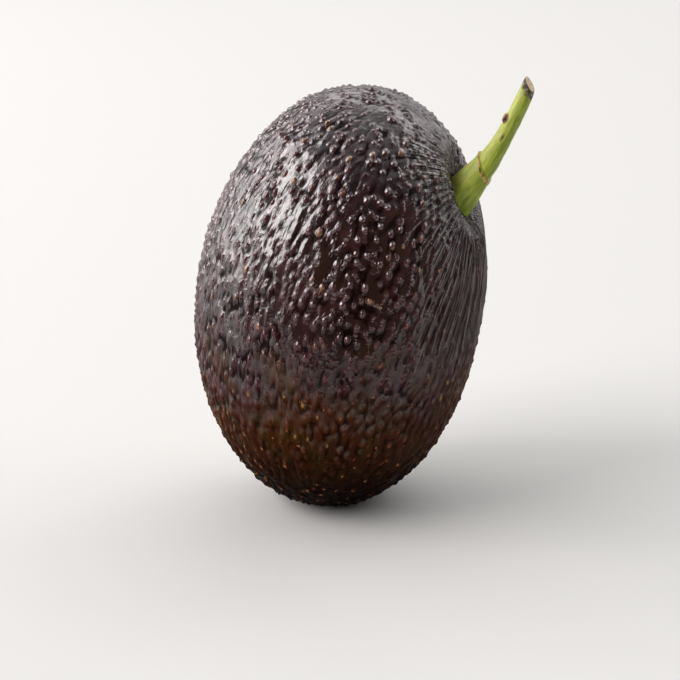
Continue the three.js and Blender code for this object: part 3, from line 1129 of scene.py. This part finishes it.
def stalk_material():
    """Fresh yellow-green stalk, streaked along its length, with cork, scars and a dry cut."""
    material, nodes, shader = new_material("avocado_stalk")
    place = nodes.place()
    along = nodes.point("grain")
    streak = blotches(nodes, along, 2.2, 0.35, 0.7, detail=4.0)
    pale = blotches(nodes, along, 5.0, 0.52, 0.75, detail=5.0)
    grain = nodes.times(fine_grain(nodes, place, 1500.0, 4000.0), STALK_GRAIN_HEIGHT)
    bark = nodes.plus(grain, nodes.times(pale, STALK_STREAK_HEIGHT))
    nodes.feed(shader["Base Color"], stalk_marks(nodes, place, stalk_greens(nodes, streak, pale)))
    nodes.feed(shader["Roughness"], nodes.span(streak, 0.46, 0.32))
    nodes.feed(shader["Normal"], nodes.bump(bark))
    return material


# ---- the studio ----

def flat_sheet(name, corners, colour, roughness, shine):
    """A flat sheet with four corners and one plain colour."""
    mesh = bpy.data.meshes.new(name)
    mesh.from_pydata(corners, [], [(0, 1, 2, 3)])
    material, _, shader = new_material(name)
    shader["Base Color"].default_value = (*colour, 1)
    shader["Roughness"].default_value = roughness
    shader["Specular IOR Level"].default_value = shine
    mesh.materials.append(material)
    sheet = bpy.data.objects.new(name, mesh)
    bpy.context.scene.collection.objects.link(sheet)
    return sheet


def make_floor():
    """A wide pale floor."""
    far = FLOOR_REACH
    corners = [(-far, -far, 0), (far, -far, 0), (far, far, 0), (-far, far, 0)]
    floor = flat_sheet("floor", corners, FLOOR_COLOUR, roughness=0.7, shine=0)


def make_dark_reflection_card():
    """A low dark brown card that stands in front, and that only the fruit's shine shows, so that the front
    of the fruit reflects painted shade.
    """
    half, front, top = CARD_WIDTH / 2, CARD_FRONT, CARD_HEIGHT
    corners = [(-half, front, 0), (half, front, 0), (half, front, top), (-half, front, top)]
    dark_reflection_card = flat_sheet("dark_reflection_card", corners, CARD_COLOUR, roughness=0.9, shine=0.1)
    dark_reflection_card.visible_camera = False
    dark_reflection_card.visible_shadow = False
    dark_reflection_card.visible_diffuse = False


def make_world():
    """Soft light that is bright behind and above the fruit and dim in front of it."""
    world = bpy.data.worlds.new("studio")
    world.use_nodes = True
    bpy.context.scene.world = world
    nodes = Nodes(world.node_tree)
    background = world.node_tree.nodes["Background"]
    sky = nodes.add("ShaderNodeTexCoord").outputs["Generated"]
    direction = nodes.add("ShaderNodeSeparateXYZ", {"Vector": sky}).outputs
    level = nodes.plus(direction["Y"], nodes.times(direction["Z"], SKY_TILT))
    nodes.feed(background.inputs["Strength"], nodes.span(level, SKY_DIM, SKY_BRIGHT, *SKY_SPAN))
    background.inputs["Color"].default_value = (1, 1, 1, 1)


def soft_box(name, azimuth, elevation, distance, width, height, radiance):
    """A soft area light that faces the fruit's middle from a direction, azimuth 0 being the front."""
    a, e = math.radians(azimuth), math.radians(elevation)
    away = Vector((math.sin(a) * math.cos(e), -math.cos(a) * math.cos(e), math.sin(e)))
    data = bpy.data.lights.new(name, "AREA")
    data.shape = "RECTANGLE"
    data.size, data.size_y = width, height
    data.energy = math.pi * width * height * radiance
    data.color = LAMP_COLOUR
    light = bpy.data.objects.new(name, data)
    light.location = Vector(FRUIT_CENTRE) + away * distance
    light.rotation_euler = away.to_track_quat("Z", "Y").to_euler()
    light.visible_camera = False
    bpy.context.scene.collection.objects.link(light)


def make_lights():
    """Two large soft boxes on the left, like a wide window, and two dimmer ones behind."""
    for lamp in LAMPS:
        soft_box(*lamp)


def make_camera():
    """The camera in front of the fruit, a little above it."""
    data = bpy.data.cameras.new("camera")
    data.lens = LENS
    data.clip_start = CAMERA_NEAR
    camera = bpy.data.objects.new("camera", data)
    back = Vector((0, -math.cos(CAMERA_ELEVATION), math.sin(CAMERA_ELEVATION)))
    camera.location = Vector(CAMERA_AIM) + back * CAMERA_DISTANCE
    camera.rotation_euler = back.to_track_quat("Z", "Y").to_euler()
    bpy.context.scene.collection.objects.link(camera)
    bpy.context.scene.camera = camera


make_camera()
make_world()
make_lights()
make_floor()
make_dark_reflection_card()
make_fruit()
make_stalk()
bpy.context.scene.view_settings.view_transform = "Standard"
